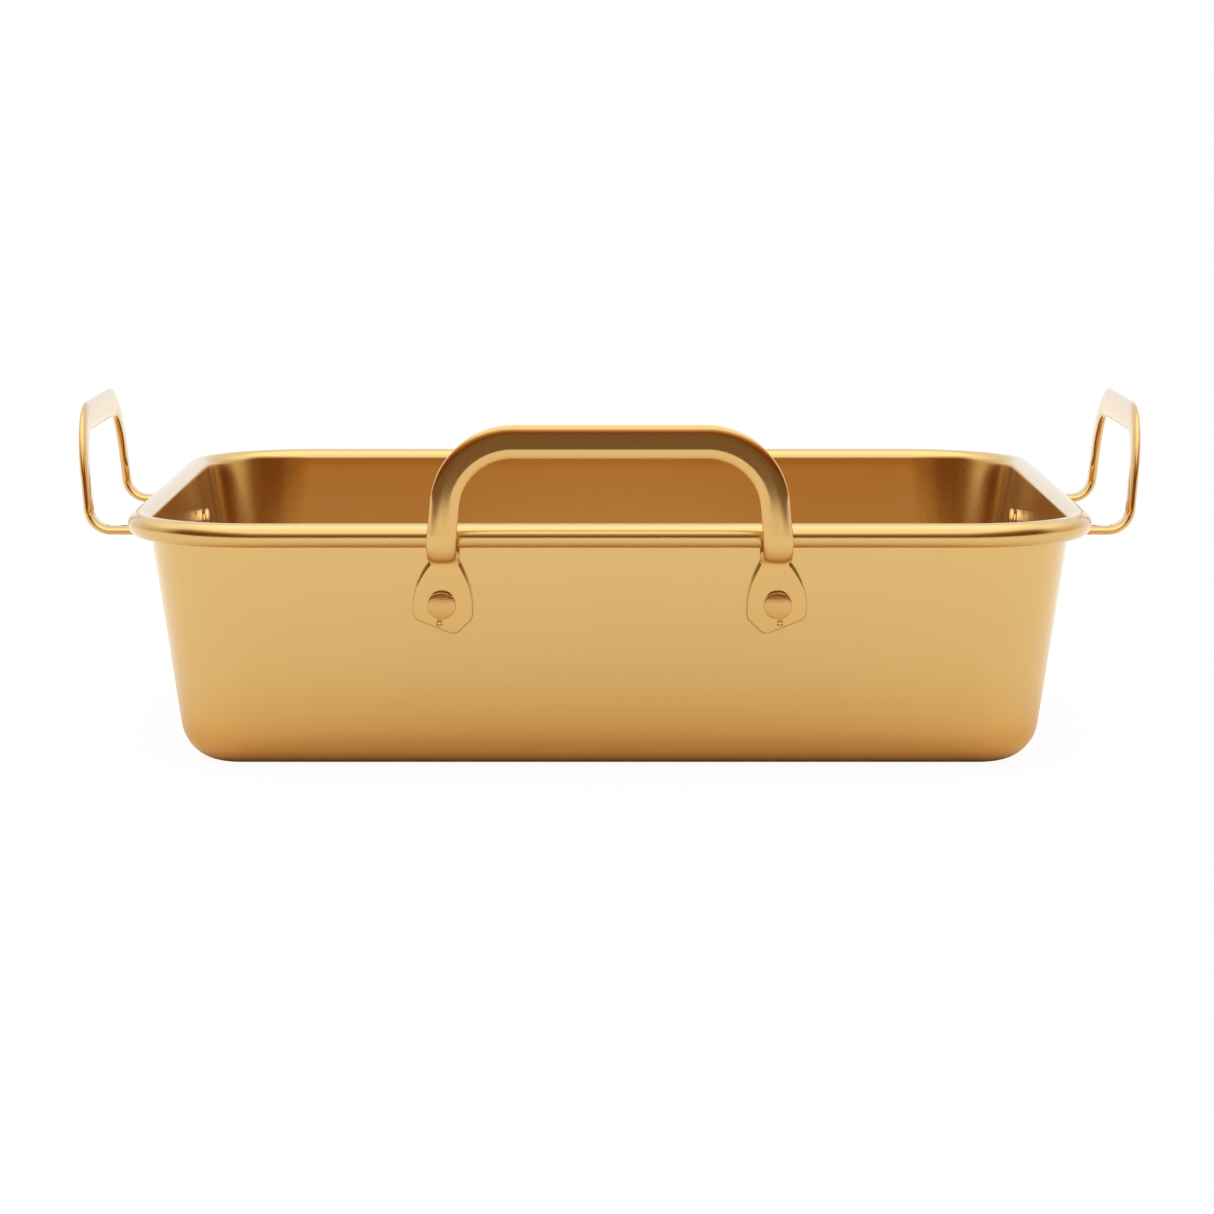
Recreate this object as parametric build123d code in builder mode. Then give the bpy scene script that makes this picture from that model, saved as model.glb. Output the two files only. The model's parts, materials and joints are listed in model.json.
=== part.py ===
"""Deep-drawn brass roasting pan with a rolled rim and three riveted loop handles.

Frame: millimetres, +Z up, origin at the centre of the flat base, on the surface
the pan stands on. The long walls run along X and the front handle is at -Y.
"""
from build123d import *
import math
import os

# ---- driving dimensions (mm) ----
RIM_LENGTH = 357.4          # outside of the rolled rim, along X
RIM_WIDTH = 306.0           # outside of the rolled rim, along Y
RIM_HEIGHT = 92.0           # top of the rolled rim
RIM_CORNER_RADIUS = 51.0    # outside of the rim in plan
BEAD_DIAMETER = 8.8         # outside of the rolled rim's curl
CURL_ANGLE = 318.0          # how far the sheet's edge is rolled round
SHEET = 0.8                 # thickness of the drawn sheet
WALL_DRAFT = 0.16           # how far a wall leans out per mm of height
BASE_CORNER_RADIUS = 19.5   # plan radius of the walls' corners at base height
BASE_FILLET_RADIUS = 16.0   # outside radius where the walls turn into the base

STRAP_THICKNESS = 3.4       # handle strap
STRAP_WIDTH = 10.6          # handle strap at the legs
FRONT_GRIP_TOP = 130.0      # highest point of the front handle
SIDE_GRIP_TOP = 127.0       # the side handles are a little shorter
FRONT_GRIP_WIDTH = 12.2     # strap width along the straight grip
SIDE_GRIP_WIDTH = 11.4
ARCH_OUTER_RADIUS = 30.0
ARCH_INNER_RADIUS = 19.0
LEG_SPACING = 118.7         # between the legs' centre lines at LEG_LEVEL
LEG_LEVEL = 79.8
LEG_CONVERGENCE = 0.105     # how far a leg leans inwards per mm of height
LEG_LEAN = 0.095            # how far a leg leans outwards per mm of height
FRONT_FOOT_HEIGHT = 81.0    # middle of the level foot of the front handle
SIDE_FOOT_HEIGHT = 79.8
FOOT_REACH = 19.6           # from the rim's outside to the leg's middle
FOOT_BEND_RADIUS = 8.8      # middle of the strap where the foot turns up
LUG_BEND_RADIUS = 5.2       # middle of the strap where the lug turns out

LUG_SHOULDER = 77.5         # height where the strap starts to widen into the lug
LUG_SHOULDER_MIDDLE = 69.0
LUG_CORNER_LEVEL = 56.4     # height of the lug's two lower corners
LUG_TIP = 50.2              # lowest point of the lug
LUG_OUTER_HALF = 10.3       # from the rivet's middle, away from the handle's middle
LUG_INNER_HALF = 11.2       # from the rivet's middle, towards the handle's middle
LUG_OUTER_SHOULDER = 9.1    # the same two at LUG_SHOULDER_MIDDLE
LUG_INNER_SHOULDER = 10.0
LUG_TIP_SHIFT = 4.8         # the tip lies this far towards the handle's middle
LUG_CORNER_RADIUS = 3.4     # rounding of the lug's corners and tip
LUG_TIP_THICKNESS = 1.8     # the forged lug thins towards its tip
PIP_DIAMETER = 2.2          # shallow locating mark punched below each rivet
PIP_DEPTH = 0.4
PIP_DROP = 7.3
PIP_SHIFT = 0.9             # away from the handle's middle

RIVET_SPACING = 121.6       # between a handle's two rivets
RIVET_HEIGHT = 62.3
RIVET_SHANK_DIAMETER = 5.0
RIVET_HEAD_DIAMETER = 10.2
RIVET_HEAD_HEIGHT = 2.4
RIVET_HEAD_EDGE = 1.6       # upright edge of the head below its dome
RIVET_TAIL_DIAMETER = 9.4   # closed head inside the pan
RIVET_TAIL_HEIGHT = 1.5

STUD_DIAMETER = 10.0        # rack buttons, spot welded inside the short walls
STUD_FLANGE_HEIGHT = 1.1    # flange against the wall
STUD_NECK_DIAMETER = 6.0
STUD_NECK_HEIGHT = 1.1
STUD_HEAD_EDGE = 1.3        # upright edge of the head below its dome
STUD_HEIGHT = 4.2
STUD_SPACING = 96.0
STUD_LEVEL = 71.0

CUT_MARGIN = 5.0            # how far a cut or a strip runs past what it trims

# ---- worked out from them ----
BEAD_RADIUS = BEAD_DIAMETER / 2
BEAD_LEVEL = RIM_HEIGHT - BEAD_RADIUS
WALL_INSET = BEAD_DIAMETER - SHEET
WALL_HALF_LENGTH = RIM_LENGTH / 2 - WALL_INSET      # outside of the wall at BEAD_LEVEL
WALL_HALF_WIDTH = RIM_WIDTH / 2 - WALL_INSET
WALL_TOP_RADIUS = RIM_CORNER_RADIUS - WALL_INSET
WALL_ANGLE = math.atan(WALL_DRAFT)
SLANT = math.hypot(1.0, WALL_DRAFT)                 # level distance per mm square to a wall


def wall_offset(height):
    """Outside of a wall at a height, measured outwards from its place at BEAD_LEVEL."""
    return WALL_DRAFT * (height - BEAD_LEVEL)


def tapered_tub(inset, floor_level):
    """Solid tub whose skin lies inset mm inside the pan's outer skin."""
    floor_size = wall_offset(floor_level) - inset * SLANT
    top_size = -inset * SLANT
    with BuildPart() as tub:
        with BuildSketch(Plane.XY.offset(floor_level)):
            RectangleRounded(
                2 * (WALL_HALF_LENGTH + floor_size),
                2 * (WALL_HALF_WIDTH + floor_size),
                BASE_CORNER_RADIUS - inset,
            )
        with BuildSketch(Plane.XY.offset(BEAD_LEVEL)):
            RectangleRounded(
                2 * (WALL_HALF_LENGTH + top_size),
                2 * (WALL_HALF_WIDTH + top_size),
                WALL_TOP_RADIUS - inset,
            )
        loft(ruled=True)
        fillet(tub.edges().group_by(Axis.Z)[0], radius=BASE_FILLET_RADIUS - inset)
    return tub.part


def wall_plane(outward, half_size):
    """Upright plane on a wall's outside at BEAD_LEVEL: x along the wall, y up, z outwards."""
    origin = (outward[0] * half_size, outward[1] * half_size, 0)
    return Plane(origin, x_dir=(-outward[1], outward[0], 0), z_dir=(outward[0], outward[1], 0))


def seat_plane(wall, along, height, depth=0.0, inwards=False):
    """Section plane through a fastener: x along the wall, y square to the wall's skin."""
    normal = wall.z_dir * math.cos(WALL_ANGLE) - wall.y_dir * math.sin(WALL_ANGLE)
    origin = wall.from_local_coords((along, height, wall_offset(height))) - normal * depth
    axis = normal * -1 if inwards else normal
    return Plane(origin, x_dir=wall.x_dir, z_dir=wall.x_dir.cross(axis))


def lug_thickness(height):
    """Thickness of the lug square to the wall."""
    share = (height - LUG_TIP) / (LUG_SHOULDER - LUG_TIP)
    return LUG_TIP_THICKNESS + (STRAP_THICKNESS - LUG_TIP_THICKNESS) * share


def rivet_solid(wall, along):
    """Solid rivet: domed head on the lug, shank through lug and sheet, low tail inside."""
    head_radius = RIVET_HEAD_DIAMETER / 2
    tail_radius = RIVET_TAIL_DIAMETER / 2
    shank_radius = RIVET_SHANK_DIAMETER / 2
    seat = lug_thickness(RIVET_HEIGHT - head_radius)
    head_top = lug_thickness(RIVET_HEIGHT) + RIVET_HEAD_HEIGHT
    head_edge = lug_thickness(RIVET_HEIGHT) + RIVET_HEAD_EDGE
    section = seat_plane(wall, along, RIVET_HEIGHT)
    with BuildPart() as rivet:
        with BuildSketch(section):
            with BuildLine():
                tail = TangentArc((0, -SHEET - RIVET_TAIL_HEIGHT), (tail_radius, -SHEET), tangent=(1, 0))
                dome = TangentArc((0, head_top), (head_radius, head_edge), tangent=(1, 0))
                Polyline(tail @ 1, (shank_radius, -SHEET), (shank_radius, seat), (head_radius, seat), dome @ 1)
                Line(tail @ 0, dome @ 0)
            make_face()
        revolve(axis=Axis(section.origin, section.y_dir))
    return rivet.part


def stud_solid(wall, along):
    """Button on the inside of a wall that a rack hooks over: flange, neck and domed head."""
    radius = STUD_DIAMETER / 2
    neck_radius = STUD_NECK_DIAMETER / 2
    head_start = STUD_FLANGE_HEIGHT + STUD_NECK_HEIGHT
    section = seat_plane(wall, along, STUD_LEVEL, depth=SHEET, inwards=True)
    with BuildPart() as stud:
        with BuildSketch(section):
            with BuildLine():
                dome = TangentArc((0, STUD_HEIGHT), (radius, head_start + STUD_HEAD_EDGE), tangent=(1, 0))
                Polyline(dome @ 0, (0, 0), (radius, 0), (radius, STUD_FLANGE_HEIGHT),
                         (neck_radius, STUD_FLANGE_HEIGHT), (neck_radius, head_start), (radius, head_start),
                         dome @ 1)
            make_face()
        revolve(axis=Axis(section.origin, section.y_dir))
    return stud.part


def leg_middle(height):
    """Distance of a leg's centre line from the handle's middle."""
    return LEG_SPACING / 2 - LEG_CONVERGENCE * (height - LEG_LEVEL)


def arch_line(side_offset, top, radius):
    """One edge of the arch: up one leg, over the grip and down the other leg."""
    foot = leg_middle(LUG_SHOULDER) + side_offset
    shoulder = leg_middle(top) + side_offset
    return FilletPolyline((foot, LUG_SHOULDER), (shoulder, top), (-shoulder, top), (-foot, LUG_SHOULDER),
                          radius=radius)


def lug_line(side):
    """Free edge of one lug: shoulder, corner, tip, corner and shoulder."""
    middle = RIVET_SPACING / 2
    outer_start = (side * (leg_middle(LUG_SHOULDER) + STRAP_WIDTH / 2), LUG_SHOULDER)
    inner_start = (side * (leg_middle(LUG_SHOULDER) - STRAP_WIDTH / 2), LUG_SHOULDER)
    outer_corner = (side * (middle + LUG_OUTER_HALF), LUG_CORNER_LEVEL)
    inner_corner = (side * (middle - LUG_INNER_HALF), LUG_CORNER_LEVEL)
    tip = (side * (middle - LUG_TIP_SHIFT), LUG_TIP)
    ThreePointArc(outer_start, (side * (middle + LUG_OUTER_SHOULDER), LUG_SHOULDER_MIDDLE), outer_corner)
    ThreePointArc(inner_start, (side * (middle - LUG_INNER_SHOULDER), LUG_SHOULDER_MIDDLE), inner_corner)
    Polyline(outer_corner, tip, inner_corner)


def handle_solid(wall, rivets, foot_height, grip_top, grip_width):
    """One handle: a strip bent as seen from the side, cut to its outline as seen from the front."""
    side_view = Plane(wall.origin, x_dir=wall.z_dir, z_dir=wall.z_dir.cross(wall.y_dir))
    leg_reach = FOOT_REACH + WALL_INSET
    lug_middle = STRAP_THICKNESS / 2 * SLANT
    strip_bottom = LUG_TIP - CUT_MARGIN
    strip_top = grip_top + CUT_MARGIN
    forging_bottom = strip_bottom - CUT_MARGIN
    forging_face = wall_offset(forging_bottom) + lug_thickness(forging_bottom) * SLANT
    shoulder_face = wall_offset(LUG_SHOULDER) + STRAP_THICKNESS * SLANT
    with BuildPart() as handle:
        with BuildSketch(side_view):
            with BuildLine():
                middle = FilletPolyline(
                    (wall_offset(strip_bottom) + lug_middle, strip_bottom),
                    (wall_offset(foot_height) + lug_middle, foot_height),
                    (leg_reach, foot_height),
                    (leg_reach + LEG_LEAN * (strip_top - foot_height), strip_top),
                    radius=[LUG_BEND_RADIUS, FOOT_BEND_RADIUS],
                )
                offset(middle, amount=STRAP_THICKNESS / 2, side=Side.BOTH, closed=True, mode=Mode.REPLACE)
            make_face()
            with BuildLine():
                # the lug is forged thinner towards its tip
                Polyline((forging_face, forging_bottom), (shoulder_face, LUG_SHOULDER),
                         (shoulder_face + CUT_MARGIN, forging_bottom), close=True)
            make_face(mode=Mode.SUBTRACT)
        extrude(amount=LEG_SPACING, both=True)
        with BuildSketch(wall):
            with BuildLine():
                arch_line(STRAP_WIDTH / 2, grip_top, ARCH_OUTER_RADIUS)
                arch_line(-STRAP_WIDTH / 2, grip_top - grip_width, ARCH_INNER_RADIUS)
                for side in (-1, 1):
                    lug_line(side)
            make_face()
            lug_corners = vertices().filter_by_position(Axis.Y, LUG_TIP, LUG_CORNER_LEVEL)
            fillet(lug_corners, radius=LUG_CORNER_RADIUS)
        extrude(amount=LEG_SPACING, both=True, mode=Mode.INTERSECT)
        for side in (-1, 1):
            pip_height = RIVET_HEIGHT - PIP_DROP
            pip_along = side * (RIVET_SPACING / 2 + PIP_SHIFT)
            section = seat_plane(wall, pip_along, pip_height, depth=-lug_thickness(pip_height))
            with BuildSketch(Plane(section.origin, x_dir=section.x_dir, z_dir=section.y_dir)):
                Circle(PIP_DIAMETER / 2)
            extrude(amount=PIP_DEPTH, both=True, mode=Mode.SUBTRACT)
        for rivet in rivets:
            add(rivet, mode=Mode.SUBTRACT)
    return handle.part


# ---- fasteners and handles, wall by wall ----
# foot height, grip top and grip width of a handle
front_sizes = (FRONT_FOOT_HEIGHT, FRONT_GRIP_TOP, FRONT_GRIP_WIDTH)
side_sizes = (SIDE_FOOT_HEIGHT, SIDE_GRIP_TOP, SIDE_GRIP_WIDTH)
# for each wall with a handle: its name, its plane, the names of its two ends, and its sizes
handle_walls = (
    ("front", wall_plane((0, -1), WALL_HALF_WIDTH), ("left", "right"), front_sizes),
    ("left", wall_plane((-1, 0), WALL_HALF_LENGTH), ("back", "front"), side_sizes),
    ("right", wall_plane((1, 0), WALL_HALF_LENGTH), ("front", "back"), side_sizes),
)
pieces = {}
rivets_all = []
for wall_name, wall, ends, sizes in handle_walls:
    rivets = [rivet_solid(wall, side * RIVET_SPACING / 2) for side in (-1, 1)]
    rivets_all += rivets
    for rivet, end in zip(rivets, ends):
        pieces[f"{wall_name}_handle_rivet_{end}"] = rivet
    pieces[f"{wall_name}_handle"] = handle_solid(wall, rivets, *sizes)
    if wall_name != "front":
        for side, end in zip((-1, 1), ends):
            pieces[f"rack_stud_{wall_name}_{end}"] = stud_solid(wall, side * STUD_SPACING / 2)

# ---- pan body: drawn tub with its edge rolled outwards into a bead ----
bead_half_length = RIM_LENGTH / 2 - BEAD_RADIUS
bead_half_width = RIM_WIDTH / 2 - BEAD_RADIUS
bead_corner = RIM_CORNER_RADIUS - BEAD_RADIUS
outer_tub = tapered_tub(0.0, 0.0)
cavity = tapered_tub(SHEET, SHEET)

with BuildPart() as curl:
    with BuildLine(Plane.XY.offset(BEAD_LEVEL)) as rim_quarter:
        side_run = Line((bead_half_length, 0), (bead_half_length, bead_half_width - bead_corner))
        corner_run = RadiusArc(side_run @ 1, (bead_half_length - bead_corner, bead_half_width), -bead_corner)
        Line(corner_run @ 1, (0, bead_half_width))
    with BuildSketch(Plane((bead_half_length, 0, BEAD_LEVEL), x_dir=(1, 0, 0), z_dir=(0, -1, 0))):
        with BuildLine():
            outside = CenterArc((0, 0), BEAD_RADIUS, 180, -CURL_ANGLE)
            inside = CenterArc((0, 0), BEAD_RADIUS - SHEET, 180, -CURL_ANGLE)
            Line(outside @ 0, inside @ 0)
            Line(outside @ 1, inside @ 1)
        make_face()
    sweep(path=rim_quarter.wire())
    mirror(about=Plane.XZ)
    mirror(about=Plane.YZ)

with BuildPart() as pan_body:
    add(outer_tub)
    add(cavity, mode=Mode.SUBTRACT)
    add(curl.part)
    for rivet in rivets_all:
        add(rivet, mode=Mode.SUBTRACT)
pieces["pan_body"] = pan_body.part

# ---- one file for each piece ----
os.makedirs("parts", exist_ok=True)
for name, piece in pieces.items():
    piece.label = name
    export_step(piece, f"parts/{name}.step")
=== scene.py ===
"""Brass roasting pan: the drawn body, three riveted loop handles and its studio, as an add-on."""
import json
import math

import bpy
import numpy as np
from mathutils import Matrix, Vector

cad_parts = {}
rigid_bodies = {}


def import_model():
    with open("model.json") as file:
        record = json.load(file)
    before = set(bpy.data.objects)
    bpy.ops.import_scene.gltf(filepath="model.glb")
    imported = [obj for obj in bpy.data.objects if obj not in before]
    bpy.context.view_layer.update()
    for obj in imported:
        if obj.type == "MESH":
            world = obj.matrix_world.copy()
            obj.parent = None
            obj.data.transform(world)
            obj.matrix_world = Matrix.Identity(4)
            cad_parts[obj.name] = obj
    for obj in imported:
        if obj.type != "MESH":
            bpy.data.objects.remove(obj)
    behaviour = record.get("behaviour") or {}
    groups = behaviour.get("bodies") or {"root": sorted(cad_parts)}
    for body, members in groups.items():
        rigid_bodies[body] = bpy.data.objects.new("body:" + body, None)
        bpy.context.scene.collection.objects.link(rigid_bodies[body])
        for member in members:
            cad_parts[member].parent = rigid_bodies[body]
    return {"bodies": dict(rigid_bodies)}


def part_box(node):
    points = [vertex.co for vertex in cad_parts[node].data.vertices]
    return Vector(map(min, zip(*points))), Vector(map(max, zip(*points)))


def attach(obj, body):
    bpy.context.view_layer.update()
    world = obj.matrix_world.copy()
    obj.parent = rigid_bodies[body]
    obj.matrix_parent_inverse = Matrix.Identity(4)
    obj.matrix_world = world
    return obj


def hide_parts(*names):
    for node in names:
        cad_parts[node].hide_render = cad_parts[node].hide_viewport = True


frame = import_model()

bl_info = {
    "name": "Brass roasting pan",
    "version": (1, 0, 0),
    "blender": (4, 5, 0),
    "location": "View3D > Sidebar > Roasting pan",
    "description": "Builds a drawn brass roasting pan with riveted loop handles",
    "category": "Add Mesh",
}

MM = 0.001
WHITE = (1.0, 1.0, 1.0, 1.0)
SKIN_STEPS = (8, 14, 20)     # rings of the body's skin over the base, the fillet and the wall
LUG_ROWS = 90
ARCH_ROWS = 34
STRAP_COLUMNS = 34
TURNED_STEPS = 48            # points round a rivet or a stud
BODY = next(iter(frame["bodies"]))
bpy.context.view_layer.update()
PAN_LOW, PAN_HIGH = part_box("pan_body")
# for each wall with a handle: its name, the way it faces, and its two ends' names
HANDLE_WALLS = (
    ("front", (0.0, -1.0), ("left", "right")),
    ("left", (-1.0, 0.0), ("back", "front")),
    ("right", (1.0, 0.0), ("front", "back")),
)


def from_hex(text):
    """Linear RGBA of an sRGB hex colour: c / 12.92 below 0.04045, else ((c + 0.055) / 1.055) ** 2.4."""
    srgb = np.array([int(text[i:i + 2], 16) for i in (0, 2, 4)]) / 255
    linear = np.where(srgb <= 0.04045, srgb / 12.92, ((srgb + 0.055) / 1.055) ** 2.4)
    return (*linear.tolist(), 1.0)


# ---------------------------------------------------------------- settings
def length(name, description, millimetres):
    """A length property, with its default given in millimetres."""
    return bpy.props.FloatProperty(name=name, description=description, default=millimetres * MM,
                                   min=0.0, precision=5, unit="LENGTH", subtype="DISTANCE")


def ratio(name, description, default):
    """A plain ratio."""
    return bpy.props.FloatProperty(name=name, description=description, default=default,
                                   precision=3, subtype="FACTOR", soft_min=0.0, soft_max=1.0)


def colour(name, description, text):
    """A colour property, with its default given as an sRGB hex value."""
    return bpy.props.FloatVectorProperty(name=name, description=description, default=from_hex(text),
                                         size=4, min=0.0, max=1.0, subtype="COLOR")


class PanShape(bpy.types.PropertyGroup):
    """Sizes of the drawn body. Its outside comes from the CAD node."""

    sheet: length("Sheet", "Thickness of the drawn sheet", 0.8)
    bead_diameter: length("Bead", "Outside of the rolled rim", 8.8)
    rim_corner: length("Rim corner", "Plan radius of the rim's outside", 51.0)
    base_corner: length("Base corner", "Plan radius of the walls at base height", 19.5)
    base_fillet: length("Base fillet", "Outside radius where the walls turn into the base", 16.0)
    draft: ratio("Draft", "How far a wall leans out for its height", 0.16)
    curl_angle: bpy.props.FloatProperty(name="Curl", description="How far the edge is rolled round",
                                        default=math.radians(318), subtype="ANGLE")


class HandleShape(bpy.types.PropertyGroup):
    """Sizes of one loop handle: a flat strap with a forged lug at each end."""

    thickness: length("Strap thickness", "Thickness of the strap", 3.4)
    width: length("Strap width", "Width of the strap at the legs", 10.6)
    front_grip_width: length("Front grip width", "Width of the front handle's grip", 12.2)
    side_grip_width: length("Side grip width", "Width of the side handles' grips", 11.4)
    edge: length("Edge", "Width of the strap's half-oval edges", 3.9)
    lug_edge: length("Lug edge", "Width of the lug's rounded edges", 0.7)
    leg_spacing: length("Leg spacing", "Between the legs' centre lines at the leg level", 118.7)
    leg_level: length("Leg level", "Height where the leg spacing is measured", 79.8)
    leg_converging: ratio("Convergence", "How far a leg leans inwards for its height", 0.105)
    leg_lean: ratio("Lean", "How far a leg leans outwards for its height", 0.095)
    arch_outer: length("Arch outside", "Outer radius of the arch", 30.0)
    arch_inner: length("Arch inside", "Inner radius of the arch", 19.0)
    front_foot: length("Front foot", "Height of the middle of the front handle's level foot", 81.0)
    side_foot: length("Side foot", "Height of the middle of the side handles' level feet", 79.8)
    foot_reach: length("Foot reach", "From the rim's outside to the leg's middle", 19.6)
    foot_bend: length("Foot bend", "Radius of the strap's middle where the foot turns up", 8.8)
    lug_bend: length("Lug bend", "Radius of the strap's middle where the lug turns out", 5.2)
    shoulder_level: length("Shoulder", "Height where the strap widens into the lug", 77.5)
    bulge_level: length("Bulge", "Height where the lug's sides are measured", 69.0)
    corner_level: length("Lug corners", "Height of the lug's lower corners", 56.4)
    tip_level: length("Lug tip", "Height of the lug's tip before it is rounded", 50.2)
    lug_outer: length("Lug outside", "From the rivet away from the handle's middle", 10.3)
    lug_inner: length("Lug inside", "From the rivet towards the handle's middle", 11.2)
    bulge_outer: length("Bulge outside", "The same at the bulge level", 9.1)
    bulge_inner: length("Bulge inside", "The same at the bulge level", 10.0)
    tip_shift: length("Tip shift", "From the rivet to the tip, towards the handle's middle", 4.8)
    tip_thickness: length("Tip thickness", "Thickness of the lug's forged tip", 1.8)
    lug_corner: length("Lug corner", "Radius of the lug's corners", 3.4)


class FastenerShape(bpy.types.PropertyGroup):
    """Sizes of the rivets, of the mark below each and of the rack studs."""

    rivet_spacing: length("Rivet spacing", "Between a handle's two rivets", 121.6)
    rivet_level: length("Rivet level", "Height of the rivets", 62.3)
    head_diameter: length("Head", "Diameter of the rivet's domed head", 10.2)
    head_height: length("Head height", "Height of the rivet's head above the lug", 2.4)
    head_edge: length("Head edge", "Height of the head's upright edge", 1.7)
    shank_diameter: length("Shank", "Diameter of the rivet's shank", 5.0)
    tail_diameter: length("Tail", "Diameter of the closed head inside the pan", 9.4)
    tail_height: length("Tail height", "Height of the closed head", 1.5)
    stud_diameter: length("Stud", "Diameter of a rack stud", 10.0)
    stud_flange: length("Stud flange", "Thickness of a stud's flange on the wall", 1.1)
    stud_neck: length("Stud neck", "Diameter of a stud's neck", 6.0)
    stud_gap: length("Stud gap", "Between a stud's flange and its head", 1.1)
    stud_height: length("Stud height", "Height of a rack stud", 4.2)
    stud_spacing: length("Stud spacing", "Between a wall's two studs", 96.0)
    stud_level: length("Stud level", "Height of the studs", 71.0)
    mark_diameter: length("Mark", "Diameter of the ring struck below each rivet", 2.2)
    mark_drop: length("Mark drop", "From the rivet down to the mark", 7.3)
    mark_shift: length("Mark shift", "From the rivet to the mark, away from the handle's middle", 0.9)


class BrassFinish(bpy.types.PropertyGroup):
    """Colours and roughness of the three finishes."""

    sheet_colour: colour("Sheet", "Drawn sheet, fine blasted", "D6B36F")
    sheet_roughness: ratio("Sheet roughness", "Roughness of the blasted sheet", 0.26)
    rim_roughness: ratio("Rim roughness", "Roughness of the buffed rim", 0.17)
    strap_colour: colour("Strap", "Brushed handle strap", "D8B16C")
    strap_roughness: ratio("Strap roughness", "Roughness of the brushed strap", 0.09)
    rivet_colour: colour("Rivet", "Peened rivet heads", "D5A863")
    rivet_roughness: ratio("Rivet roughness", "Roughness of the rivet heads", 0.17)
    lacquer: ratio("Lacquer", "Weight of the thin clear lacquer over all the brass", 0.7)
    lacquer_roughness: ratio("Lacquer roughness", "Roughness of the lacquer", 0.16)


class StudioLook(bpy.types.PropertyGroup):
    """Floor, lights and camera."""

    floor_colour: colour("Floor", "Matt paper floor", "F2F0EC")
    # painted bounce light: a warm colour put into the paper near the pan, standing in for light thrown back
    # by the brass
    painted_bounce_colour: colour("Glow", "Paper close to the pan, lit warm by the brass", "FFE2B8")
    painted_bounce_reach: length("Glow reach", "How far past the pan's base the warm paper fades out", 110.0)
    # painted reflection: a dark sheet that glows and is seen only in the metal, standing in for the unlit
    # studio floor
    dark_reflection_edge: length("Carpet edge", "From the pan's middle to the carpet, towards the camera", 512.0)
    dark_reflection_colour: colour("Carpet", "Dark floor in front of the paper, seen only in the metal", "866E55")
    shade_colour: colour("Dark side", "Unlit side of the studio, behind the camera", "82502A")
    haze_colour: colour("Haze", "The same, a little higher up", "CA8C3E")
    flank_colour: colour("Low sides", "Studio to the left and right, near the floor", "EAC99C")
    side_colour: colour("Sides", "White walls to the sides and behind the pan", "ECE4DC")
    lamp_power: bpy.props.FloatProperty(name="Softbox", description="Power of the overhead softbox",
                                        default=2.0, unit="POWER")
    camera_distance: length("Camera distance", "From the pan's middle, along Y", 1538.5)
    camera_height: length("Camera height", "Above the floor", 244.9)
    camera_side: length("Camera side", "Left of the pan's middle", 1.0)
    camera_pitch: bpy.props.FloatProperty(name="Camera pitch", description="Downwards from level",
                                          default=0.131, subtype="ANGLE")
    lens: bpy.props.FloatProperty(name="Lens", description="Focal length on a 36 mm sensor",
                                  default=115.36, unit="CAMERA")


class RoastingPanSettings(bpy.types.PropertyGroup):
    """Everything a user would change."""

    pan: bpy.props.PointerProperty(type=PanShape)
    handle: bpy.props.PointerProperty(type=HandleShape)
    fastener: bpy.props.PointerProperty(type=FastenerShape)
    finish: bpy.props.PointerProperty(type=BrassFinish)
    studio: bpy.props.PointerProperty(type=StudioLook)


# ---------------------------------------------------------------- mesh helpers
def grid_faces(rows, columns):
    """Quads of a vertex grid numbered row by row, closed across its columns."""
    corner = np.arange(rows - 1)[:, None] * columns
    here = np.arange(columns)[None, :]
    after = (here + 1) % columns
    return np.stack([corner + here, corner + after, corner + columns + after, corner + columns + here],
                    axis=-1).reshape(-1, 4)


def volume_of(points, faces):
    """Signed volume: a sixth of the sum of a . (b x c) over the faces' fans of triangles."""
    fans = [faces[:, [0, i, i + 1]] for i in range(1, faces.shape[1] - 1)]
    a, b, c = (points[np.concatenate(fans)[:, i]] for i in range(3))
    return float(np.einsum("ij,ij->i", a, np.cross(b, c)).sum()) / 6


def add_piece(name, points, face_sets, material, uv=None, crease=40.0):
    """Makes a shaded mesh object of points and faces, turned so that its faces point outwards."""
    if sum(volume_of(points, faces) for faces in face_sets) < 0:
        face_sets = [faces[:, ::-1] for faces in face_sets]
    mesh = bpy.data.meshes.new(name)
    mesh.from_pydata(points, [], [face for faces in face_sets for face in faces.tolist()])
    if uv is not None:
        corners = np.empty(len(mesh.loops), dtype=np.int32)
        mesh.loops.foreach_get("vertex_index", corners)
        mesh.uv_layers.new(name="strap").data.foreach_set("uv", uv[corners].astype(np.float32).ravel())
    mesh.validate()
    mesh.shade_smooth()
    mesh.set_sharp_from_angle(angle=math.radians(crease))
    mesh.materials.append(material)
    piece = bpy.data.objects.new(name, mesh)
    bpy.context.collection.objects.link(piece)
    return piece


def tube_with_poles(rings, first_pole, last_pole):
    """Points and faces of a stack of closed rings, shut by a fan to a pole at each end."""
    rows, columns = rings.shape[:2]
    points = np.vstack([rings.reshape(-1, 3), first_pole, last_pole])
    here = np.arange(columns)
    after = (here + 1) % columns
    last_row = (rows - 1) * columns
    first_fan = np.stack([np.full(columns, rows * columns), after, here], axis=-1)
    last_fan = np.stack([np.full(columns, rows * columns + 1), last_row + here, last_row + after], axis=-1)
    return points, [grid_faces(rows, columns), first_fan, last_fan]


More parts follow.
